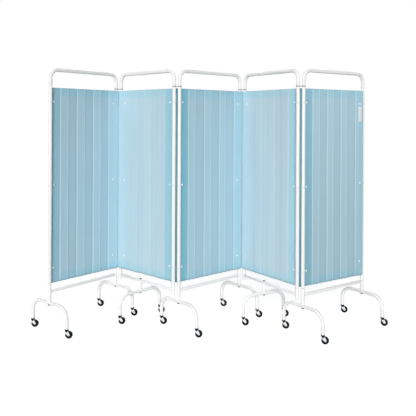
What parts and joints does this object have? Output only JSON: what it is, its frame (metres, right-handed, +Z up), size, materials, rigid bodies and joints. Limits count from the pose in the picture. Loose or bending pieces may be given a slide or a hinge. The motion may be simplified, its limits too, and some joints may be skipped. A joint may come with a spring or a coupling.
{
  "type": "mobile folding screen",
  "caption": "Ward privacy screen of tube-framed panels hinged in a zigzag, each with a pleated curtain, on arched tube feet with swivel castors.",
  "frame": {"origin": "on the floor, under the middle of the whole screen's bounding box as it stands folded in its zigzag", "axes": "+Z up, +X to the right along the row of panels as seen from the front, +Y away from the viewer"},
  "size_m": [2.5376, 0.8368, 1.82],
  "materials": {
    "frame_paint": "white epoxy powder coat, satin gloss",
    "foot_paint": "white epoxy powder coat, satin gloss",
    "hinge_plate": "zinc plated flat steel, dulled",
    "castor_steel": "bright zinc plated pressed steel",
    "castor_tyre": "black moulded tyre",
    "curtain_cloth": "pale blue woven polyester, matt"
  },
  "bodies": {
    "panel_1": {"upper_frame_1": "frame_paint", "lower_frame_1": "frame_paint", "feet_1": "foot_paint", "curtain_1": "curtain_cloth"},
    "panel_2": {"upper_frame_2": "frame_paint", "lower_frame_2": "frame_paint", "feet_2": "foot_paint", "curtain_2": "curtain_cloth"},
    "panel_3": {"upper_frame_3": "frame_paint", "lower_frame_3": "frame_paint", "feet_3": "foot_paint", "curtain_3": "curtain_cloth"},
    "panel_4": {"upper_frame_4": "frame_paint", "lower_frame_4": "frame_paint", "feet_4": "foot_paint", "curtain_4": "curtain_cloth"},
    "panel_5": {"upper_frame_5": "frame_paint", "lower_frame_5": "frame_paint", "feet_5": "foot_paint", "curtain_5": "curtain_cloth"},
    "link_1": {"upper_link_1": "hinge_plate", "lower_link_1": "hinge_plate"},
    "link_2": {"upper_link_2": "hinge_plate", "lower_link_2": "hinge_plate"},
    "link_3": {"upper_link_3": "hinge_plate", "lower_link_3": "hinge_plate"},
    "link_4": {"upper_link_4": "hinge_plate", "lower_link_4": "hinge_plate"},
    "castor_1": {"castor_fork_1": "castor_steel"},
    "wheel_1": {"castor_wheel_1": "castor_tyre"},
    "castor_2": {"castor_fork_2": "castor_steel"},
    "wheel_2": {"castor_wheel_2": "castor_tyre"},
    "castor_3": {"castor_fork_3": "castor_steel"},
    "wheel_3": {"castor_wheel_3": "castor_tyre"},
    "castor_4": {"castor_fork_4": "castor_steel"},
    "wheel_4": {"castor_wheel_4": "castor_tyre"},
    "castor_5": {"castor_fork_5": "castor_steel"},
    "wheel_5": {"castor_wheel_5": "castor_tyre"},
    "castor_6": {"castor_fork_6": "castor_steel"},
    "wheel_6": {"castor_wheel_6": "castor_tyre"},
    "castor_7": {"castor_fork_7": "castor_steel"},
    "wheel_7": {"castor_wheel_7": "castor_tyre"},
    "castor_8": {"castor_fork_8": "castor_steel"},
    "wheel_8": {"castor_wheel_8": "castor_tyre"},
    "castor_9": {"castor_fork_9": "castor_steel"},
    "wheel_9": {"castor_wheel_9": "castor_tyre"},
    "castor_10": {"castor_fork_10": "castor_steel"},
    "wheel_10": {"castor_wheel_10": "castor_tyre"},
    "castor_11": {"castor_fork_11": "castor_steel"},
    "wheel_11": {"castor_wheel_11": "castor_tyre"},
    "castor_12": {"castor_fork_12": "castor_steel"},
    "wheel_12": {"castor_wheel_12": "castor_tyre"},
    "castor_13": {"castor_fork_13": "castor_steel"},
    "wheel_13": {"castor_wheel_13": "castor_tyre"},
    "castor_14": {"castor_fork_14": "castor_steel"},
    "wheel_14": {"castor_wheel_14": "castor_tyre"},
    "castor_15": {"castor_fork_15": "castor_steel"},
    "wheel_15": {"castor_wheel_15": "castor_tyre"},
    "castor_16": {"castor_fork_16": "castor_steel"},
    "wheel_16": {"castor_wheel_16": "castor_tyre"}
  },
  "joints": [
    {"name": "link_1_turn", "type": "hinge", "parent": "panel_2", "child": "link_1", "pos_m": [-0.69293, 0.27795, 1], "axis": [0, 0, -1], "range_deg": [-24, 48.5]},
    {"name": "panel_1_fold", "type": "hinge", "parent": "link_1", "child": "panel_1", "pos_m": [-0.73086, 0.27563, 1], "axis": [0, 0, -1], "range_deg": [-24, 48.5]},
    {"name": "link_2_turn", "type": "hinge", "parent": "panel_3", "child": "link_2", "pos_m": [-0.22218, -0.15513, 1], "axis": [0, 0, 1], "range_deg": [-28, 44.5]},
    {"name": "panel_2_fold", "type": "hinge", "parent": "link_2", "child": "panel_2", "pos_m": [-0.26018, -0.15479, 1], "axis": [0, 0, 1], "range_deg": [-28, 44.5]},
    {"name": "link_3_turn", "type": "hinge", "parent": "panel_3", "child": "link_3", "pos_m": [0.21805, 0.27, 1], "axis": [0, 0, 1], "range_deg": [-22, 50.5]},
    {"name": "panel_4_fold", "type": "hinge", "parent": "link_3", "child": "panel_4", "pos_m": [0.25581, 0.2657, 1], "axis": [0, 0, 1], "range_deg": [-22, 50.5]},
    {"name": "link_4_turn", "type": "hinge", "parent": "panel_4", "child": "link_4", "pos_m": [0.58913, -0.24756, 1], "axis": [0, 0, -1], "range_deg": [-25.75, 46.75]},
    {"name": "panel_5_fold", "type": "hinge", "parent": "link_4", "child": "panel_5", "pos_m": [0.62652, -0.25433, 1], "axis": [0, 0, -1], "range_deg": [-25.75, 46.75]},
    {"name": "castor_1_swivel", "type": "hinge", "parent": "panel_1", "child": "castor_1", "pos_m": [-0.96147, -0.32083, 0.06], "axis": [0, 0, 1], "continuous": true},
    {"name": "castor_1_roll", "type": "hinge", "parent": "castor_1", "child": "wheel_1", "pos_m": [-0.94647, -0.32083, 0.025], "axis": [0, 1, 0], "continuous": true},
    {"name": "castor_2_swivel", "type": "hinge", "parent": "panel_1", "child": "castor_2", "pos_m": [-1.25382, -0.09242, 0.06], "axis": [0, 0, 1], "continuous": true},
    {"name": "castor_2_roll", "type": "hinge", "parent": "castor_2", "child": "wheel_2", "pos_m": [-1.23882, -0.09242, 0.025], "axis": [0, 1, 0], "continuous": true},
    {"name": "castor_3_swivel", "type": "hinge", "parent": "panel_1", "child": "castor_3", "pos_m": [-0.58468, 0.16143, 0.06], "axis": [0, 0, 1], "continuous": true},
    {"name": "castor_3_roll", "type": "hinge", "parent": "castor_3", "child": "wheel_3", "pos_m": [-0.56968, 0.16143, 0.025], "axis": [0, 1, 0], "continuous": true},
    {"name": "castor_4_swivel", "type": "hinge", "parent": "panel_1", "child": "castor_4", "pos_m": [-0.87704, 0.38984, 0.06], "axis": [0, 0, 1], "continuous": true},
    {"name": "castor_4_roll", "type": "hinge", "parent": "castor_4", "child": "wheel_4", "pos_m": [-0.86204, 0.38984, 0.025], "axis": [0, 1, 0], "continuous": true},
    {"name": "castor_5_swivel", "type": "hinge", "parent": "panel_2", "child": "castor_5", "pos_m": [-0.64927, -0.02805, 0.06], "axis": [0, 0, 1], "continuous": true},
    {"name": "castor_5_roll", "type": "hinge", "parent": "castor_5", "child": "wheel_5", "pos_m": [-0.63427, -0.02805, 0.025], "axis": [0, 1, 0], "continuous": true},
    {"name": "castor_6_swivel", "type": "hinge", "parent": "panel_2", "child": "castor_6", "pos_m": [-0.38693, 0.23429, 0.06], "axis": [0, 0, 1], "continuous": true},
    {"name": "castor_6_roll", "type": "hinge", "parent": "castor_6", "child": "wheel_6", "pos_m": [-0.37193, 0.23429, 0.025], "axis": [0, 1, 0], "continuous": true},
    {"name": "castor_7_swivel", "type": "hinge", "parent": "panel_3", "child": "castor_7", "pos_m": [-0.09332, -0.28857, 0.06], "axis": [0, 0, 1], "continuous": true},
    {"name": "castor_7_roll", "type": "hinge", "parent": "castor_7", "child": "wheel_7", "pos_m": [-0.07832, -0.28857, 0.025], "axis": [0, 1, 0], "continuous": true},
    {"name": "castor_8_swivel", "type": "hinge", "parent": "panel_3", "child": "castor_8", "pos_m": [-0.35104, -0.02169, 0.06], "axis": [0, 0, 1], "continuous": true},
    {"name": "castor_8_roll", "type": "hinge", "parent": "castor_8", "child": "wheel_8", "pos_m": [-0.33604, -0.02169, 0.025], "axis": [0, 1, 0], "continuous": true},
    {"name": "castor_9_swivel", "type": "hinge", "parent": "panel_3", "child": "castor_9", "pos_m": [0.34691, 0.13657, 0.06], "axis": [0, 0, 1], "continuous": true},
    {"name": "castor_9_roll", "type": "hinge", "parent": "castor_9", "child": "wheel_9", "pos_m": [0.36191, 0.13657, 0.025], "axis": [0, 1, 0], "continuous": true},
    {"name": "castor_10_swivel", "type": "hinge", "parent": "panel_3", "child": "castor_10", "pos_m": [0.08919, 0.40344, 0.06], "axis": [0, 0, 1], "continuous": true},
    {"name": "castor_10_roll", "type": "hinge", "parent": "castor_10", "child": "wheel_10", "pos_m": [0.10419, 0.40344, 0.025], "axis": [0, 1, 0], "continuous": true},
    {"name": "castor_11_swivel", "type": "hinge", "parent": "panel_4", "child": "castor_11", "pos_m": [0.2349, -0.04269, 0.06], "axis": [0, 0, 1], "continuous": true},
    {"name": "castor_11_roll", "type": "hinge", "parent": "castor_11", "child": "wheel_11", "pos_m": [0.2499, -0.04269, 0.025], "axis": [0, 1, 0], "continuous": true},
    {"name": "castor_12_swivel", "type": "hinge", "parent": "panel_4", "child": "castor_12", "pos_m": [0.54604, 0.15937, 0.06], "axis": [0, 0, 1], "continuous": true},
    {"name": "castor_12_roll", "type": "hinge", "parent": "castor_12", "child": "wheel_12", "pos_m": [0.56104, 0.15937, 0.025], "axis": [0, 1, 0], "continuous": true},
    {"name": "castor_13_swivel", "type": "hinge", "parent": "panel_5", "child": "castor_13", "pos_m": [0.73686, -0.40344, 0.06], "axis": [0, 0, 1], "continuous": true},
    {"name": "castor_13_roll", "type": "hinge", "parent": "castor_13", "child": "wheel_13", "pos_m": [0.75186, -0.40344, 0.025], "axis": [0, 1, 0], "continuous": true},
    {"name": "castor_14_swivel", "type": "hinge", "parent": "panel_5", "child": "castor_14", "pos_m": [0.51618, -0.10521, 0.06], "axis": [0, 0, 1], "continuous": true},
    {"name": "castor_14_roll", "type": "hinge", "parent": "castor_14", "child": "wheel_14", "pos_m": [0.53118, -0.10521, 0.025], "axis": [0, 1, 0], "continuous": true},
    {"name": "castor_15_swivel", "type": "hinge", "parent": "panel_5", "child": "castor_15", "pos_m": [1.22882, -0.03941, 0.06], "axis": [0, 0, 1], "continuous": true},
    {"name": "castor_15_roll", "type": "hinge", "parent": "castor_15", "child": "wheel_15", "pos_m": [1.24382, -0.03941, 0.025], "axis": [0, 1, 0], "continuous": true},
    {"name": "castor_16_swivel", "type": "hinge", "parent": "panel_5", "child": "castor_16", "pos_m": [1.00814, 0.25882, 0.06], "axis": [0, 0, 1], "continuous": true},
    {"name": "castor_16_roll", "type": "hinge", "parent": "castor_16", "child": "wheel_16", "pos_m": [1.02314, 0.25882, 0.025], "axis": [0, 1, 0], "continuous": true}
  ],
  "couplings": [
    {"joint": "link_1_turn", "follows": "panel_1_fold", "ratio": 1},
    {"joint": "link_2_turn", "follows": "panel_2_fold", "ratio": 1},
    {"joint": "link_3_turn", "follows": "panel_4_fold", "ratio": 1},
    {"joint": "link_4_turn", "follows": "panel_5_fold", "ratio": 1}
  ]
}
